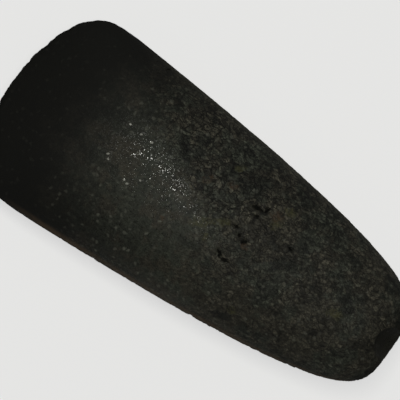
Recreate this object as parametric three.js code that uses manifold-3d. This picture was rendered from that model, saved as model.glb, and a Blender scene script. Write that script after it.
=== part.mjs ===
// A polished stone axe head: one solid of ground greenstone, lying on its broad face.
// Millimetres, +Z up. +X runs along the head towards the cutting edge, and Y runs across it.
// The origin is under the middle of the head, on the flat that it lies on.
import * as THREE from "three";
import { ParametricGeometry } from "three/addons/geometries/ParametricGeometry.js";
import { mergeVertices } from "three/addons/utils/BufferGeometryUtils.js";
import Module from "manifold-3d";

const wasm = await Module();
wasm.setup();

// Plan form. A distance "back" is measured from the tip of the cutting edge towards the butt.
const LENGTH = 130;
const WIDTH = 59;
const EDGE_SWEEP = 18; // how far back the curve of the cutting edge ends
const EDGE_SKEW = 1.5; // how far the tip of the edge stands off the middle line, towards +Y
const WIDEST_BACK = 22;
const EDGE_CURVE = { along: 2.7, across: 2.1 };
const SIDE_CURVE = { along: 1.12, across: 4.27 };
const EDGE_CORNER = 0.84; // where the edge turns into the sides, as a share of half the width
const BUTT_CORNER = 0.46; // where the sides turn into the butt

// Thickness. The plane of the cutting edge splits it into an upper and a lower depth.
const THICKNESS = 33;
const LOWER_DEPTH = 16.2;
const THICKEST_BACK = 62;
const FRONT_THINNING = 0.72; // share of the depth lost from the thickest place to the cutting edge
const BUTT_THINNING = 0.26; // the same, from the thickest place to the butt
const CHEEK_ANGLE = 33; // half the angle of the cutting edge, in degrees
const CHEEK_REACH = 60; // how far back the curve of the ground cheek would level out
const CHEEK_BLEND = 1.4;
const BUTT_ROUNDING = 12;
const BUTT_CURVE = 2.2;
const SECTION_CURVE = { across: 2.2, up: 2.05 };

// The flat that the head lies on, and the old flake scar on the upper edge of the butt.
const FLAT_DEPTH = 0.45;
const SCAR_CENTRE = { back: 138, y: -0.8, z: 29 };
const SCAR_RADII = { along: 14, across: 8.4, up: 14 };

const RING_STEPS = 80;
const STATION_STEPS = 52;
const FIRST_TURN = 0.6; // the stations are even turns from here to a half circle, close at the butt
const SCAR_STEPS = 72;

const halfWidth = WIDTH / 2;
const edgeHeight = LOWER_DEPTH - FLAT_DEPTH;
const upperDepth = THICKNESS - edgeHeight;

// One quarter of a superellipse: 1 where share is 0, falling to 0 where share is 1.
function quadrant(share, p, q) {
  return Math.pow(Math.max(0, 1 - Math.pow(share, p)), 1 / q);
}

function signedPower(value, power) {
  return Math.sign(value) * Math.pow(Math.abs(value), power);
}

function smoothMinimum(a, b, blend) {
  const overlap = Math.max(0, blend - Math.abs(a - b)) / blend;
  return Math.min(a, b) - (overlap * overlap * blend) / 4;
}

// The outline seen from above, as half a width at a distance back.
function halfWidthAt(back) {
  if (back < EDGE_SWEEP) {
    const share = (EDGE_SWEEP - back) / EDGE_SWEEP;
    return halfWidth * quadrant(share, EDGE_CURVE.along, EDGE_CURVE.across);
  }
  const share = Math.max(0, back - WIDEST_BACK) / (LENGTH - WIDEST_BACK);
  return halfWidth * quadrant(share, SIDE_CURVE.along, SIDE_CURVE.across);
}

// The same outline, as a distance back at a place across the cutting edge or the butt.
function edgeBackAt(y) {
  const share = Math.abs(y) / halfWidth;
  return EDGE_SWEEP * (1 - quadrant(share, EDGE_CURVE.across, EDGE_CURVE.along));
}

function buttBackAt(y) {
  const share = Math.abs(y) / halfWidth;
  const reach = quadrant(share, SIDE_CURVE.across, SIDE_CURVE.along);
  return WIDEST_BACK + (LENGTH - WIDEST_BACK) * reach;
}

// A patch stretched between the cutting edge, the butt and the two sides.
// across runs from -1 to 1 between the sides, and along from 0 at the edge to 1 at the butt.
function planPoint(across, along) {
  const edgeY = halfWidth * EDGE_CORNER;
  const buttY = halfWidth * BUTT_CORNER;
  const { lerp } = THREE.MathUtils;
  const back = lerp(edgeBackAt(across * edgeY), buttBackAt(across * buttY), along);
  const sideBack = lerp(edgeBackAt(edgeY), buttBackAt(buttY), along);
  const skew = EDGE_SKEW * Math.pow(Math.max(0, 1 - back / EDGE_SWEEP), 2);
  return { back, y: across * halfWidthAt(sideBack) + skew };
}

// Depth of the stone above or below the plane of the edge, on the middle line.
function depthAt(back, deepest) {
  const offset = back - THICKEST_BACK;
  const thinning =
    offset < 0
      ? FRONT_THINNING * Math.pow(offset / THICKEST_BACK, 2)
      : BUTT_THINNING * Math.pow(offset / (LENGTH - THICKEST_BACK), 2);
  const body = deepest * (1 - thinning);
  const levelDepth = (CHEEK_REACH / 2) * Math.tan(THREE.MathUtils.degToRad(CHEEK_ANGLE));
  const cheek = levelDepth * (1 - Math.pow(Math.max(0, 1 - back / CHEEK_REACH), 2));
  const buttShare = Math.max(0, back - LENGTH + BUTT_ROUNDING) / BUTT_ROUNDING;
  const rounding = quadrant(buttShare, BUTT_CURVE, BUTT_CURVE);
  return Math.max(0, smoothMinimum(cheek, body, CHEEK_BLEND)) * rounding;
}

// Where a station lies between the cutting edge, 0, and the butt, 1.
function alongAt(station) {
  const turn = THREE.MathUtils.lerp(FIRST_TURN, Math.PI, station);
  return (Math.cos(FIRST_TURN) - Math.cos(turn)) / (Math.cos(FIRST_TURN) + 1);
}

// Rings of stone from the cutting edge to the butt. Both end rings close up into a line.
function bodyGeometry() {
  return new ParametricGeometry(
    (u, v, target) => {
      const angle = 2 * Math.PI * (1 - u);
      const across = signedPower(Math.cos(angle), 2 / SECTION_CURVE.across);
      const up = signedPower(Math.sin(angle), 2 / SECTION_CURVE.up);
      const deepest = up > 0 ? upperDepth : LOWER_DEPTH;
      const along = alongAt(v);
      const { back, y } = planPoint(across, along);
      target.set(LENGTH / 2 - back, y, edgeHeight + up * depthAt(along * LENGTH, deepest));
    },
    RING_STEPS,
    STATION_STEPS,
  );
}

function scarGeometry() {
  const geometry = new THREE.SphereGeometry(1, SCAR_STEPS, SCAR_STEPS / 2);
  geometry.scale(SCAR_RADII.along, SCAR_RADII.across, SCAR_RADII.up);
  return geometry.translate(LENGTH / 2 - SCAR_CENTRE.back, SCAR_CENTRE.y, SCAR_CENTRE.z);
}

function floorGeometry() {
  const geometry = new THREE.BoxGeometry(LENGTH, WIDTH, LENGTH);
  return geometry.translate(0, 0, -LENGTH / 2);
}

function toSolid(geometry) {
  const bare = geometry.clone();
  bare.deleteAttribute("normal");
  bare.deleteAttribute("uv");
  const merged = mergeVertices(bare, 1e-4);
  return new wasm.Manifold(
    new wasm.Mesh({
      numProp: 3,
      vertProperties: new Float32Array(merged.attributes.position.array),
      triVerts: new Uint32Array(merged.index.array),
    }),
  );
}

function toGeometry(solid) {
  const mesh = solid.getMesh();
  const geometry = new THREE.BufferGeometry();
  geometry.setAttribute("position", new THREE.BufferAttribute(mesh.vertProperties, 3));
  geometry.setIndex(new THREE.BufferAttribute(mesh.triVerts, 1));
  geometry.computeVertexNormals();
  return geometry;
}

const stone = new THREE.MeshStandardMaterial({
  color: new THREE.Color(0x22221d),
  roughness: 0.45,
  metalness: 0,
});

const axeSolid = toSolid(bodyGeometry())
  .subtract(toSolid(scarGeometry()))
  .subtract(toSolid(floorGeometry()));
const axeHead = new THREE.Mesh(toGeometry(axeSolid), stone);
axeHead.name = "axe_head";

const axe = new THREE.Group();
axe.add(axeHead);

export default axe;
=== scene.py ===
# A polished stone axe head: one piece of dark ground greenstone, lying on its broad face.
# +X runs along the head towards the cutting edge, +Y across it and +Z up, in metres.
import math

import bpy
from mathutils import Matrix, Vector


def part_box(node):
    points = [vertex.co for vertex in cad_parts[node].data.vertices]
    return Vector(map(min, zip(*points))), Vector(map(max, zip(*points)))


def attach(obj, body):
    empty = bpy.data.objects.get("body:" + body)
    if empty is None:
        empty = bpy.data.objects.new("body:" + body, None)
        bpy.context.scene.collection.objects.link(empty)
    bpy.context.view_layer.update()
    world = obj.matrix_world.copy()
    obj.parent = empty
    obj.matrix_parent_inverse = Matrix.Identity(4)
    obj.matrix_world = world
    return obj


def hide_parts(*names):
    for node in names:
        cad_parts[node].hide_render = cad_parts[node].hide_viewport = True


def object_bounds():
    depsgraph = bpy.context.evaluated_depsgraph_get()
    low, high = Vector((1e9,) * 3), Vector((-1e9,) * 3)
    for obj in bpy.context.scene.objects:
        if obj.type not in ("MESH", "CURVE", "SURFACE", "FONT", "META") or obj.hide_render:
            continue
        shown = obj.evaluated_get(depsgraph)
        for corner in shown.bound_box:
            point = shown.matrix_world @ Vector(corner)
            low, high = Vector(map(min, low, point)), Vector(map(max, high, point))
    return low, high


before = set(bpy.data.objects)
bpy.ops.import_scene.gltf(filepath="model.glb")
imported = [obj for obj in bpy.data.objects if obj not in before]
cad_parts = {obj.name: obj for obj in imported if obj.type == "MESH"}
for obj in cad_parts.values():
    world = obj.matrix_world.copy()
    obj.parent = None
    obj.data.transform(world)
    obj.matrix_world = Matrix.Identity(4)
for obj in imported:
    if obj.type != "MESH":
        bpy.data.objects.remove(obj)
cad_low, cad_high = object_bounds()

# ---------------------------------------------------------------------------------------
# The axe head. A cobble of greenstone was pecked to shape with a hammer stone, then ground
# on wet sandstone, hardest at the blade, which is bright and smooth. The butt half keeps
# its pecked skin for the grip of the haft. Lengths in this section are in millimetres.

MM = 0.001


class Value:
    """One value, colour or vector in a node tree. Arithmetic on it adds the Math nodes."""

    def __init__(self, tree, socket):
        self.tree = tree
        self.socket = socket

    def math(self, operation, *values):
        return self.tree.add("ShaderNodeMath", {"operation": operation}, dict(enumerate(values)))

    def __add__(self, other):
        return self.math("ADD", self, other)

    __radd__ = __add__

    def __sub__(self, other):
        return self.math("SUBTRACT", self, other)

    def __rsub__(self, other):
        return self.math("SUBTRACT", other, self)

    def __mul__(self, other):
        return self.math("MULTIPLY", self, other)

    __rmul__ = __mul__

    def __truediv__(self, other):
        return self.math("DIVIDE", self, other)

    def __rtruediv__(self, other):
        return self.math("DIVIDE", other, self)

    def __pow__(self, other):
        return self.math("POWER", self, other)

    def __gt__(self, other):
        return self.math("GREATER_THAN", self, other)

    def __abs__(self):
        return self.math("ABSOLUTE", self)

    def at_least(self, lowest):
        return self.math("MAXIMUM", self, lowest)

    def at_most(self, highest):
        return self.math("MINIMUM", self, highest)

    def over(self, level):
        """How far the value stands above a level, and 0 below it."""
        return (self - level).at_least(0)

    def sine(self):
        return self.math("SINE", self)

    def cosine(self):
        return self.math("COSINE", self)

    def signed_power(self, power):
        return self.math("SIGN", self) * abs(self) ** power

    def ramp(self, start, end, low=0.0, high=1.0):
        """Runs smoothly from low, where the value is at start, to high, where it is at end."""
        places = {0: self, 1: start, 2: end, 3: low, 4: high}
        return self.tree.add("ShaderNodeMapRange", {"interpolation_type": "SMOOTHSTEP"}, places)

    def part(self, letter):
        parts = self.tree.add("ShaderNodeSeparateXYZ", {}, {0: self})
        return Value(self.tree, parts.socket.node.outputs[letter])

    def vector(self, operation, *others):
        places = dict(enumerate((self, *others)))
        output = 1 if operation in ("LENGTH", "DOT_PRODUCT") else 0
        return self.tree.add("ShaderNodeVectorMath", {"operation": operation}, places, output)

    def scaled(self, factor):
        settings = {"operation": "SCALE"}
        return self.tree.add("ShaderNodeVectorMath", settings, {0: self, "Scale": factor})


class Tree:
    """A node tree that is built by one method."""

    def __init__(self, nodes):
        self.nodes = nodes

    def add(self, kind, settings=None, inputs=None, output=0):
        node = self.nodes.nodes.new(kind)
        for name, setting in (settings or {}).items():
            setattr(node, name, setting)
        for name, value in (inputs or {}).items():
            if isinstance(value, Value):
                self.nodes.links.new(value.socket, node.inputs[name])
            else:
                node.inputs[name].default_value = value
        return Value(self, node.outputs[output] if node.outputs else None)

    def noise(self, place, size, detail=2.0, roughness=0.5, colour=False):
        """Soft lumps about so many millimetres across, from 0 to 1 and mostly near 0.5."""
        inputs = {"Vector": place, "Scale": 1 / size, "Detail": detail, "Roughness": roughness}
        return self.add("ShaderNodeTexNoise", {}, inputs, "Color" if colour else 0)

    def shaken(self, place, size, reach):
        """The place, moved about at random, so that what is drawn there is crooked."""
        shake = self.noise(place, size, 2, 0.6, colour=True).vector("SUBTRACT", (0.5, 0.5, 0.5))
        return place.vector("ADD", shake.scaled(reach))

    def keep(self, geometry, marks):
        """Stores values on the points of a geometry, under their names."""
        for name, value in marks.items():
            inputs = {"Geometry": geometry, "Name": name, "Value": value}
            geometry = self.add("GeometryNodeStoreNamedAttribute", {"data_type": "FLOAT"}, inputs)
        return geometry

    def kept(self, name):
        return self.add("GeometryNodeInputNamedAttribute", {"data_type": "FLOAT"}, {"Name": name})

    def join(self, x=0.0, y=0.0, z=0.0):
        return self.add("ShaderNodeCombineXYZ", {}, {0: x, 1: y, 2: z})


# Plan form, the same as the solid's. "Back" is the distance behind the tip of the edge.
EDGE_SWEEP = 18
EDGE_SKEW = 1.5
WIDEST_BACK = 22
EDGE_CURVE = (2.7, 2.1)
SIDE_CURVE = (1.12, 4.27)
EDGE_CORNER = 0.84
BUTT_CORNER = 0.46

# Thickness, above and below the plane of the cutting edge.
LOWER_DEPTH = 16.2
FLAT_DEPTH = 0.45
THICKEST_BACK = 62
FRONT_THINNING = 0.72
BUTT_THINNING = 0.26
CHEEK_ANGLE = 33
CHEEK_REACH = 60
CHEEK_BLEND = 2.1
BUTT_ROUNDING = 12
BUTT_CURVE = 2.2
SECTION_CURVE = (2.2, 2.05)

# The old flake scar on the upper edge of the butt, a scoop with soft ripples.
SCAR_CENTRE = Vector((138, -0.8, 29))
SCAR_RADII = Vector((14, 8.4, 14))

RING_STEPS = 330
STATION_STEPS = 296
FIRST_TURN = 0.6
SIDE_CROWDING = 0.14  # how far the ring's steps move from the sides to the broad faces

low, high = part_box("axe_head")
axe_sizes = {
    "Length": (high.x - low.x) / MM,
    "Width": (high.y - low.y) / MM,
    "Thickness": (high.z - low.z) / MM,
}
edge_height = LOWER_DEPTH - FLAT_DEPTH


def group_inputs(group, sizes):
    group.interface.new_socket("Mesh", in_out="OUTPUT", socket_type="NodeSocketGeometry")
    for name in sizes:
        group.interface.new_socket(name, in_out="INPUT", socket_type="NodeSocketFloat")
    tree = Tree(group)
    entry = tree.add("NodeGroupInput").socket.node
    return tree, {name: Value(tree, entry.outputs[name]) for name in sizes}


def quadrant(share, p, q):
    """One quarter of a superellipse: 1 where share is 0, falling to 0 where share is 1."""
    if isinstance(share, Value):
        return (1 - share ** p).at_least(0) ** (1 / q)
    return max(0, 1 - share ** p) ** (1 / q)


# Wear and tool marks on the ground form. Noise makes a mark where it stands over its level.
SWELL = {"size": 26, "level": 0.4, "height": 0.3}
GRINDING_FACET = {"size": 9, "level": 0.35, "height": 0.16, "stretch": 0.2}
PECK = {"size": 1.2, "depth": 0.13, "stretch": 0.65}
GRIT = {"size": 1.3, "level": 0.3, "height": 0.12}
RIPPLE = {"spacing": 2.4, "height": 0.07, "centre": (-65, -1, 30)}
EDGE_CHIP = {"size": 5.5, "level": 0.42, "depth": 2.2, "reach": 1.3, "back": 2.5}
SIDE_NICK = {"size": 1.6, "level": 0.46, "depth": 2.4, "reach": 4.2, "least": 0.25}
PIT_DEPTH = 0.6
CROOKED = {"size": 1.4, "reach": 1.6}  # how the outlines of pits and stains wander

# The pecked skin starts nearer the edge towards the -Y side, and its pecks deepen further back.
SKIN_START = (54, 74)
SKIN_SLANT = 52
PECKS_DEEPEN = (30, 85, 0.2, 1)
LEAST_PECKED = 0.06

# Deep pits and cuts in the upper face: back, y, half length, half width, turn in degrees.
PITS = (
    (76.8, -10.3, 2.0, 0.42, 6),
    (79.0, -11.3, 0.9, 0.40, 80),
    (75.1, 6.2, 1.3, 0.40, -40),
    (77.4, 6.8, 1.4, 0.34, 5),
    (77.5, -8.3, 0.5, 0.40, 30),
    (74.6, -2.7, 0.5, 0.42, 0),
    (76.5, -1.0, 0.4, 0.36, 0),
    (78.8, -0.4, 0.8, 0.38, 50),
    (90.6, -6.3, 0.5, 0.35, 20),
    (34.0, -27.4, 0.6, 0.30, 40),
)


def ovals(tree, place, places, rim=0.5):
    """1 inside any of the listed ovals on the upper face, and 0 outside them."""
    found = None
    for back, y, half_length, half_width, turn in places:
        c, s = math.cos(math.radians(turn)), math.sin(math.radians(turn))
        from_middle = place.vector("SUBTRACT", (cad_high.x / MM - back, y, 0))
        lengthways = from_middle.vector("DOT_PRODUCT", (c / half_length, s / half_length, 0))
        sideways = from_middle.vector("DOT_PRODUCT", (-s / half_width, c / half_width, 0))
        oval = tree.join(lengthways, sideways).vector("LENGTH").ramp(1 + rim, 1 - rim)
        found = oval if found is None else found.math("MAXIMUM", found, oval)
    return found * place.part("Z").ramp(edge_height, edge_height + 2)


def grains(tree, place, size):
    """Rounded grains about so many millimetres across: the gaps round them, and a chance for each."""
    loose = tree.shaken(tree.shaken(place, size * 4, size * 2.5), size * 0.9, size * 1.6)
    drawn_out = loose.vector("MULTIPLY", (PECK["stretch"], 1, 1))
    cells = {"Vector": drawn_out, "Scale": 1 / size}
    edge = tree.add("ShaderNodeTexVoronoi", {"feature": "DISTANCE_TO_EDGE"}, cells)
    colour = tree.add("ShaderNodeTexVoronoi", {}, cells, "Color")
    return edge.ramp(0.17, 0.0), colour.part("X")


def worn(tree, solid):
    """Lowers the surface along its normals into facets, pecks, chips, nicks and pits."""
    place = tree.add("GeometryNodeInputPosition")
    behind, across, scar = tree.kept("behind_edge"), tree.kept("across"), tree.kept("scar")

    swell = tree.noise(place, SWELL["size"]).over(SWELL["level"]) * SWELL["height"]
    drawn_out = place.vector("MULTIPLY", (GRINDING_FACET["stretch"], 1, 1))
    facet = tree.noise(drawn_out, GRINDING_FACET["size"], 0).over(GRINDING_FACET["level"])

    skin = (behind - across.at_most(0.1) * SKIN_SLANT).ramp(*SKIN_START)
    pecked = skin * behind.ramp(*PECKS_DEEPEN)
    pecked = (pecked * (1 - LEAST_PECKED) + LEAST_PECKED) * (1 - scar)
    gap, chance = grains(tree, place, PECK["size"])
    peck = (gap + chance * 0.5) * PECK["depth"]
    grit = tree.noise(place, GRIT["size"]).over(GRIT["level"]) * GRIT["height"]

    struck = place.vector("SUBTRACT", RIPPLE["centre"]).vector("LENGTH")
    ripple = ((struck * (2 * math.pi / RIPPLE["spacing"])).sine() + 1) * RIPPLE["height"] * scar

    ridge = abs(place.part("Z") - edge_height)
    across_edge = tree.join(place.part("Y"), 0, 0)
    chip = tree.noise(across_edge, EDGE_CHIP["size"], 3, 0.6).over(EDGE_CHIP["level"])
    chip = chip * EDGE_CHIP["depth"] * ridge.ramp(EDGE_CHIP["reach"], 0)
    chip = chip * behind.ramp(EDGE_CHIP["back"], 0)
    rough_side = behind.ramp(10, 30) * (across > 0)
    nick = tree.noise(place, SIDE_NICK["size"], 2, 0.6).over(SIDE_NICK["level"])
    nick = nick * SIDE_NICK["depth"] * ridge.ramp(SIDE_NICK["reach"], 0)
    nick = nick * (SIDE_NICK["least"] + rough_side * (1 - SIDE_NICK["least"]))

    pit = ovals(tree, tree.shaken(place, **CROOKED), PITS) * PIT_DEPTH
    depth = swell + facet * GRINDING_FACET["height"] + (peck + grit) * pecked
    depth = depth + ripple + chip + nick + pit
    normal = tree.add("GeometryNodeInputNormal")
    marked = tree.keep(solid, {"skin": skin * (1 - scar)})
    moved = {"Geometry": marked, "Offset": normal.scaled(depth * -1)}
    return tree.add("GeometryNodeSetPosition", {}, moved)


def ground_head(group):
    tree, sizes = group_inputs(group, axe_sizes)
    length, half_width = sizes["Length"], sizes["Width"] / 2
    upper_depth = sizes["Thickness"] - edge_height
    side_run = length - WIDEST_BACK

    counts = {"Vertices X": RING_STEPS + 1, "Vertices Y": STATION_STEPS + 1}
    grid = tree.add("GeometryNodeMeshGrid", {}, {"Size X": 1.0, "Size Y": 1.0, **counts})
    flat = tree.add("GeometryNodeInputPosition")
    turn = (0.5 - flat.part("X")) * (2 * math.pi)
    turn = turn + (turn * 2).sine() * SIDE_CROWDING
    station = flat.part("Y") + 0.5

    across = turn.cosine().signed_power(2 / SECTION_CURVE[0])
    up = turn.sine().signed_power(2 / SECTION_CURVE[1])
    station_turn = FIRST_TURN + station * (math.pi - FIRST_TURN)
    run = math.cos(FIRST_TURN) + 1
    along = (math.cos(FIRST_TURN) - station_turn.cosine()) / run

    def edge_back(share):
        return EDGE_SWEEP * (1 - quadrant(share, EDGE_CURVE[1], EDGE_CURVE[0]))

    def butt_back(share):
        return WIDEST_BACK + side_run * quadrant(share, SIDE_CURVE[1], SIDE_CURVE[0])

    edge = edge_back(abs(across) * EDGE_CORNER)
    butt = butt_back(abs(across) * BUTT_CORNER)
    back = edge + (butt - edge) * along
    corner = edge_back(EDGE_CORNER)
    side_back = corner + (butt_back(BUTT_CORNER) - corner) * along
    edge_share = ((EDGE_SWEEP - side_back) / EDGE_SWEEP).at_least(0)
    side_share = ((side_back - WIDEST_BACK) / side_run).at_least(0)
    outline = quadrant(edge_share, *EDGE_CURVE) * quadrant(side_share, *SIDE_CURVE)
    skew = (1 - back / EDGE_SWEEP).at_least(0) ** 2 * EDGE_SKEW
    y = across * outline * half_width + skew

    depth_back = along * length
    offset = depth_back - THICKEST_BACK
    in_front = offset.math("LESS_THAN", offset, 0)
    to_edge, to_butt = offset / THICKEST_BACK, offset / (length - THICKEST_BACK)
    thinning = to_edge * to_edge * FRONT_THINNING * in_front
    thinning = thinning + to_butt * to_butt * BUTT_THINNING * (1 - in_front)
    deepest = LOWER_DEPTH + (upper_depth - LOWER_DEPTH) * (up > 0)
    level_depth = CHEEK_REACH / 2 * math.tan(math.radians(CHEEK_ANGLE))
    cheek = level_depth * (1 - (1 - depth_back / CHEEK_REACH).at_least(0) ** 2)
    body = deepest * (1 - thinning)
    depth = cheek.math("SMOOTH_MIN", cheek, body, CHEEK_BLEND)
    butt_share = (depth_back - length + BUTT_ROUNDING).at_least(0) / BUTT_ROUNDING
    depth = depth * quadrant(butt_share, BUTT_CURVE, BUTT_CURVE)
    place = tree.join(length / 2 - back, y, up * depth + edge_height)

    behind_edge = back - edge_back(abs(y).at_most(half_width) / half_width)
    marked = tree.keep(grid, {"behind_edge": behind_edge, "across": across})
    shaped = tree.add("GeometryNodeSetPosition", {}, {"Geometry": marked, "Position": place})
    merge = {"Geometry": shaped, "Distance": 0.001}
    closed = tree.add("GeometryNodeMergeByDistance", {}, merge)

    # The flake scar: stone inside the scoop is pushed back to its surface.
    place = tree.add("GeometryNodeInputPosition")
    centre = tree.join(length / 2 - SCAR_CENTRE.x, SCAR_CENTRE.y, SCAR_CENTRE.z)
    reach = place.vector("SUBTRACT", centre)
    share = reach.vector("DIVIDE", SCAR_RADII).vector("LENGTH")
    marked = tree.keep(closed, {"scar": (1 - share).ramp(0.0, 0.02)})
    scooped = centre.vector("ADD", reach.scaled(1 / share.at_most(1)))
    scarred = tree.add("GeometryNodeSetPosition", {}, {"Geometry": marked, "Position": scooped})
    scarred = worn(tree, scarred)

    # Sizes go from millimetres to metres, and the underside is ground flat.
    metres = tree.add("GeometryNodeInputPosition").scaled(MM)
    scaled = tree.add("GeometryNodeSetPosition", {}, {"Geometry": scarred, "Position": metres})
    at = tree.add("GeometryNodeInputPosition")
    rested = tree.join(at.part("X"), at.part("Y"), at.part("Z").at_least(0))
    resting = tree.add("GeometryNodeSetPosition", {}, {"Geometry": scaled, "Position": rested})
    realized = tree.add("GeometryNodeRealizeInstances", {}, {"Geometry": resting})
    smooth = tree.add("GeometryNodeSetShadeSmooth", {}, {"Geometry": realized})
    finish = {"Geometry": smooth, "Material": greenstone}
    finished = tree.add("GeometryNodeSetMaterial", {}, finish)
    tree.add("NodeGroupOutput", {}, {"Mesh": finished})


def baked_from_tree(name, build, sizes, material):
    """A plain mesh object from a geometry tree, with the tree's inputs set to the sizes."""
    group = bpy.data.node_groups.new(name, "GeometryNodeTree")
    build(group)
    piece = bpy.data.objects.new(name, bpy.data.meshes.new(name))
    bpy.context.collection.objects.link(piece)
    modifier = piece.modifiers.new(name, "NODES")
    modifier.node_group = group
    for socket in group.interface.items_tree:
        if socket.in_out == "INPUT":
            modifier[socket.identifier] = float(sizes[socket.name])
    depsgraph = bpy.context.evaluated_depsgraph_get()
    evaluated = piece.evaluated_get(depsgraph)
    mesh = bpy.data.meshes.new_from_object(
        evaluated, preserve_all_data_layers=True, depsgraph=depsgraph
    )
    mesh.polygons.foreach_set("material_index", [0] * len(mesh.polygons))
    mesh.materials.clear()
    mesh.materials.append(material)
    piece.modifiers.clear()
    piece.data = mesh
    return piece


# The finish. Polish darkens the stone, and its pecked skin is paler.
POLISHED = (0.0068, 0.0070, 0.0056, 1)
GREEN_GROUND = (0.0620, 0.0685, 0.0520, 1)
BROWN_GROUND = (0.0710, 0.0660, 0.0490, 1)
PALE_FLECK = (0.215, 0.220, 0.178, 1)
# Pale crystals, set bright enough to be painted glints as well.
MICA_AND_GLINT = (0.60, 0.60, 0.54, 1)
OLIVE_STAIN = (0.115, 0.112, 0.045, 1)
RUST_STAIN = (0.130, 0.083, 0.050, 1)
# Warm stain on the +Y margin, made light enough to be painted light on that side as well.
SIDE_STAIN_AND_LIGHT = (0.240, 0.152, 0.085, 1)
# A pale strip on the -Y margin: painted light.
SIDE_PAINTED_LIGHT = (0.110, 0.106, 0.070, 1)
# Near black for the pits: painted shade in the hollows.
PIT_SHADE = (0.003, 0.003, 0.0022, 1)
SCAR_DARK = (0.0200, 0.0190, 0.0140, 1)

# Stains, single bright crystals whose pale colour is also a painted glint, and dark patches on the
# upper face, each an oval: back, y, half length, half width, turn in degrees.
OLIVE_PATCHES = (
    (66.0, 2.0, 2.8, 1.4, 35),
    (70.6, -1.2, 3.0, 1.3, 35),
    (69.3, 4.6, 1.5, 1.0, 0),
    (83.2, -9.6, 1.8, 1.3, 60),
    (84.6, -14.6, 1.6, 1.1, 0),
    (110.8, 1.2, 2.2, 1.5, 20),
    (66.2, -16.4, 1.6, 0.9, 40),
    (87.0, 17.0, 1.6, 0.9, 0),
)
RUST_PATCHES = (
    (60.7, -8.7, 1.7, 1.1, 50),
    (67.4, -11.4, 1.5, 0.9, 20),
    (56.7, 7.3, 0.8, 0.6, 0),
    (82.2, -11.4, 1.9, 1.6, 0),
    (79.6, 0.6, 1.2, 0.9, 0),
)
BRIGHT_FLECKS_AND_GLINTS = (
    (34.3, -8.7, 0.38, 0.30, 0),
    (34.0, 1.5, 0.45, 0.25, 40),
    (34.9, 2.7, 0.35, 0.25, 0),
    (41.8, 4.8, 0.35, 0.30, 0),
    (43.1, 5.2, 0.42, 0.28, 30),
    (45.6, 2.4, 0.32, 0.24, 0),
    (38.4, -8.2, 0.35, 0.25, 20),
    (42.0, -8.0, 0.50, 0.30, 20),
)
DARK_PATCHES = (
    (73.2, -15.6, 4.2, 3.0, 30),
    (64.0, -13.5, 1.7, 1.6, 0),
    (90.6, -6.3, 1.2, 0.9, 20),
)


# Mottling, from patches of a centimetre down to single crystals: size, detail, roughness.
WANDER = (11, 3, 0.55)
BLOTCH = (3.2, 3, 0.6)
GRAIN = (1.1, 3, 0.75)
CRYSTAL = (0.5, 2, 0.6)
CLOUD = (5.5, 2, 0.6)
FINE_GRAIN_SIZE = 0.75
FLECK_SIZE = 1.7

# Millimetres behind the edge where polish ends, and how far its border wanders.
POLISH_ENDS = (48, 16)
POLISH_WANDERS = 22
POLISH_FRAYS = 10

# Roughness runs from the blade's to the crown's, between two distances behind the edge.
ROUGHNESS = {"from": 30, "to": 62, "blade": 0.74, "crown": 0.60}
FLAKE = {"size": 0.42, "tilt": 0.12, "roughness": 0.09}


def mixed(tree, base, other, share):
    inputs = {"Factor": share, 6: base, 7: other}
    return tree.add("ShaderNodeMix", {"data_type": "RGBA"}, inputs, 2)


def cells_of(tree, place, size):
    """Random cells about so many millimetres across: their distance, colour and middle."""
    cells = tree.add("ShaderNodeTexVoronoi", {}, {"Vector": place, "Scale": 1 / size})
    outputs = cells.socket.node.outputs
    return [Value(tree, outputs[name]) for name in ("Distance", "Color", "Position")]


def grain_marks(tree, place, mask):
    """Where the skin is polished or rough, and the gaps and the lightness of its grains, with painted
    shade in the gaps.
    """
    behind, across, skin = mask["behind_edge"], mask["across"], mask["skin"]
    wander = tree.noise(place, *WANDER)
    blotch = tree.noise(place, *BLOTCH)
    grain = tree.noise(place, *GRAIN)
    crystal = tree.noise(place, *CRYSTAL)
    border = behind + (wander - 0.5) * POLISH_WANDERS + (blotch - 0.5) * POLISH_FRAYS
    polish = border.ramp(*POLISH_ENDS)
    rough = skin * (1 - polish * 0.5)
    brown = (wander + (blotch - 0.5) * 0.7 + skin * 0.05).ramp(0.42, 0.62)

    # Big pecked grains stand out most on the -Y flank, and small ones are everywhere. Their gaps are
    # darkened as painted shade, and the stronger contrast on the -Y flank is partly painted side
    # light.
    gap, chance = grains(tree, place, PECK["size"])
    fine_gap, fine_chance = grains(tree, place, FINE_GRAIN_SIZE)
    strength = rough * (blotch - across * 0.1).ramp(0.34, 0.54, 0.45, 1)
    strength = strength * (behind + across * 30).ramp(90, 50, 0.7, 1)
    big_grains_gap_shade = (1 - gap * 0.9) * (0.4 + chance * 1.7)
    small_grains_gap_shade = (1 - fine_gap * 0.6) * (0.6 + fine_chance * 1.1)
    tone = (1 + (big_grains_gap_shade - 1) * strength) * (1 + (small_grains_gap_shade - 1) * (0.35 + rough * 0.35))
    tone = tone * (grain * 0.7 + crystal * 0.3).ramp(0.3, 0.7, 0.45, 1.65)
    height = grain * (0.03 + rough * 0.08) - fine_gap * 0.04 * (0.2 + rough)
    height = height - gap * strength * 0.09
    return {
        "polish": polish, "rough": rough, "brown": brown, "blotch": blotch,
        "grain": grain, "tone": tone, "height": height,
    }


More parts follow.
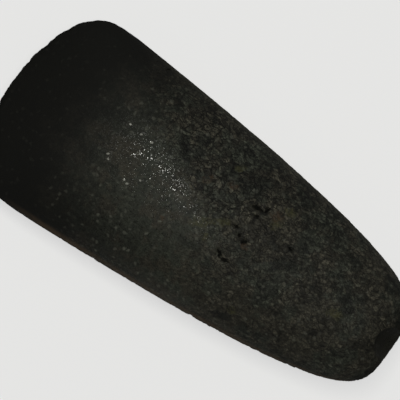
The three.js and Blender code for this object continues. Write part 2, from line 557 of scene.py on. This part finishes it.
def stone_colour(tree, loose, mask, marks, pits):
    """Green and brown ground with dark clouds, pale flecks and stains, and painted shade, near black,
    in the pits.
    """
    behind, across = mask["behind_edge"], mask["across"]
    polish, rough = marks["polish"], marks["rough"]
    cloud = tree.noise(loose, *CLOUD).ramp(0.47, 0.36) * (0.2 + rough * 0.35)
    # The +Y flank towards the blade is darkened by half: painted shade on that side, together with
    # the stone's darker mottling there.
    flank_mottle_and_shade = across.ramp(0.2, 0.85) * behind.ramp(72, 38) * 0.5
    dark_patch = ovals(tree, loose, DARK_PATCHES, 0.6) * 0.45
    tone = marks["tone"] * (1 - cloud) * (1 - flank_mottle_and_shade) * (1 - dark_patch)
    colour = mixed(tree, GREEN_GROUND, BROWN_GROUND, marks["brown"]).scaled(tone)

    veined = marks["grain"].ramp(0.35, 0.6) * 0.7
    for stain, patches in ((OLIVE_STAIN, OLIVE_PATCHES), (RUST_STAIN, RUST_PATCHES)):
        colour = mixed(tree, colour, stain, ovals(tree, loose, patches, 0.45) * veined)
    colour = mixed(tree, colour, POLISHED, polish * 0.97)
    distance, chances, _ = cells_of(tree, loose, FLECK_SIZE)
    fleck = distance.ramp(0.42, 0.12) * chances.part("Y").ramp(0.45, 0.95)
    fleck = fleck * (0.85 - rough * 0.2) * (0.9 - polish * 0.82)
    colour = mixed(tree, colour, PALE_FLECK, fleck)

    # A warm strip along the +Y margin: the stone's reddish side, brightened as painted light.
    side = across.ramp(0.93, 0.985) * behind.ramp(4, 22)
    side = side * marks["blotch"].ramp(0.3, 0.6, 0.4, 1)
    colour = mixed(tree, colour, SIDE_STAIN_AND_LIGHT, side * 0.65)
    # A pale strip along the -Y margin: painted light on that side.
    far_side_light = (across * -1).ramp(0.95, 0.995) * behind.ramp(10, 30)
    colour = mixed(tree, colour, SIDE_PAINTED_LIGHT, far_side_light * 0.5)
    colour = mixed(tree, colour, SCAR_DARK, mask["scar"] * 0.85)
    # The pits are painted near black: painted shade.
    return mixed(tree, colour, PIT_SHADE, pits * 0.85)


def greenstone_finish(tree):
    place = tree.add("ShaderNodeTexCoord", {}, {}, "Object").scaled(1 / MM)
    loose = tree.shaken(place, **CROOKED)
    mask = {}
    for name in ("behind_edge", "across", "skin", "scar"):
        mask[name] = tree.add("ShaderNodeAttribute", {"attribute_name": name}, {}, "Fac")
    marks = grain_marks(tree, place, mask)
    pits = ovals(tree, loose, PITS, 0.3)
    colour = stone_colour(tree, loose, mask, marks, pits)

    # Tiny mica flakes lie nearly level with the face, and flash where it mirrors the lamp.
    distance, chances, middle = cells_of(tree, place, FLAKE["size"])
    lean = chances.vector("SUBTRACT", (0.5, 0.5, 0.5))
    facet = place.vector("SUBTRACT", middle).vector("DOT_PRODUCT", lean) * FLAKE["tilt"]
    flakes = chances.part("Z").ramp(0.40, 0.44) * distance.ramp(0.5, 0.35)
    flakes = flakes * (1 - marks["polish"]) * (1 - marks["rough"] * 0.8)
    bright = ovals(tree, place, BRIGHT_FLECKS_AND_GLINTS, 0.3)

    height = marks["height"] * (1 - flakes) + flakes * facet - pits * 0.3
    along_head = (ROUGHNESS["from"], ROUGHNESS["to"], ROUGHNESS["blade"], ROUGHNESS["crown"])
    roughness = mask["behind_edge"].ramp(*along_head)
    roughness = roughness - (roughness - FLAKE["roughness"]) * (flakes + bright).at_most(1)
    roughness = roughness + (1 - roughness) * pits
    # The listed bright crystals take the pale mica colour, which also paints their glints.
    finish = {
        "Base Color": mixed(tree, colour, MICA_AND_GLINT, bright),
        "Roughness": roughness,
        "Normal": tree.add("ShaderNodeBump", {}, {"Height": height, "Distance": MM, "Strength": 1.0}),
    }
    shader = tree.nodes.nodes["Principled BSDF"]
    for name, value in finish.items():
        tree.nodes.links.new(value.socket, shader.inputs[name])


greenstone = bpy.data.materials.new("greenstone")
greenstone.use_nodes = True
greenstone_finish(Tree(greenstone.node_tree))

axe = baked_from_tree("stone_axe_head", ground_head, axe_sizes, greenstone)
axe.data.set_sharp_from_angle(angle=math.radians(40))
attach(axe, "root")
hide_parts("axe_head")

# ---------------------------------------------------------------------------------------
# The floor, the light and the camera.

FLOOR_RADIUS = 8.0

bpy.ops.mesh.primitive_circle_add(vertices=64, radius=FLOOR_RADIUS, fill_type="NGON")
floor = bpy.context.object
floor.name = "floor"
floor_material = bpy.data.materials.new("floor")
floor.data.materials.append(floor_material)
floor.visible_diffuse = False
floor.visible_glossy = False

view_centre = Vector((2.85, -2.82, 15.75)) * MM
VIEW_WIDTH = 111.8 * MM
VIEW_DISTANCE = 1.4
VIEW_TURN = math.radians(-144.5)
camera = bpy.data.objects.new("camera", bpy.data.cameras.new("camera"))
bpy.context.collection.objects.link(camera)
camera.data.lens = camera.data.sensor_width * VIEW_DISTANCE / VIEW_WIDTH
camera.data.clip_start = 0.05
camera.data.clip_end = 50
camera.location = view_centre + Vector((0, 0, VIEW_DISTANCE))
camera.rotation_euler = (0, 0, VIEW_TURN)
bpy.context.scene.camera = camera

# A pale light table under the head, dim walls and a dim ceiling, and a lamp beside the lens.
FLOOR_GLOW = 0.64
FLOOR_COLOUR = (0.6, 0.6, 0.6, 1)
LIT_WALL = (0.18, 0.18, 0.17, 1)
DARK_WALL = (0.05, 0.05, 0.047, 1)
CEILING = (0.042, 0.042, 0.039, 1)

# The lamp is a strip aimed at the middle of the view. Its angles are in degrees: how far it
# leans from the upright, the side it leans to and the way its long side runs, round from +X.
LAMP_LENGTH = 0.5
LAMP_WIDTH = 0.075
LAMP_DISTANCE = 1.2
LAMP_LEAN = 8.5
LAMP_TOWARD = -54
LAMP_TURN = -28
LAMP_POWER = 3.0
LAMP_COLOUR = (1, 1, 0.93)

floor_material.use_nodes = True
floor_shader = floor_material.node_tree.nodes["Principled BSDF"]
floor_shader.inputs["Base Color"].default_value = FLOOR_COLOUR
floor_shader.inputs["Roughness"].default_value = 0.9
floor_shader.inputs["Specular IOR Level"].default_value = 0.0
floor_shader.inputs["Emission Color"].default_value = (1, 1, 1, 1)
floor_shader.inputs["Emission Strength"].default_value = FLOOR_GLOW

lean, toward, turn = (math.radians(angle) for angle in (LAMP_LEAN, LAMP_TOWARD, LAMP_TURN))
outward = Vector((math.cos(toward), math.sin(toward), 0)) * math.sin(lean)
outward.z = math.cos(lean)
sideways = outward.cross(Vector((math.cos(turn), math.sin(turn), 0))).normalized()
strip_lamp = bpy.data.objects.new("strip_lamp", bpy.data.lights.new("strip_lamp", "AREA"))
bpy.context.collection.objects.link(strip_lamp)
strip_lamp.data.shape = "RECTANGLE"
strip_lamp.data.size = LAMP_LENGTH
strip_lamp.data.size_y = LAMP_WIDTH
strip_lamp.data.energy = LAMP_POWER
strip_lamp.data.color = LAMP_COLOUR
axes = Matrix((sideways.cross(outward), sideways, outward))
strip_lamp.matrix_world = axes.transposed().to_4x4()
strip_lamp.location = view_centre + outward * LAMP_DISTANCE
strip_lamp.visible_camera = False

studio = bpy.data.worlds.new("studio")
bpy.context.scene.world = studio
studio.use_nodes = True
studio_tree = Tree(studio.node_tree)
facing = studio_tree.add("ShaderNodeTexCoord", {}, {}, "Generated")
lit = abs(facing.part("Y")).ramp(0.3, 0.9)
walls = mixed(studio_tree, DARK_WALL, LIT_WALL, lit)
sky = mixed(studio_tree, walls, CEILING, facing.part("Z").ramp(0.05, 0.35))
studio.node_tree.links.new(sky.socket, studio.node_tree.nodes["Background"].inputs["Color"])
bpy.context.scene.view_settings.view_transform = "Standard"
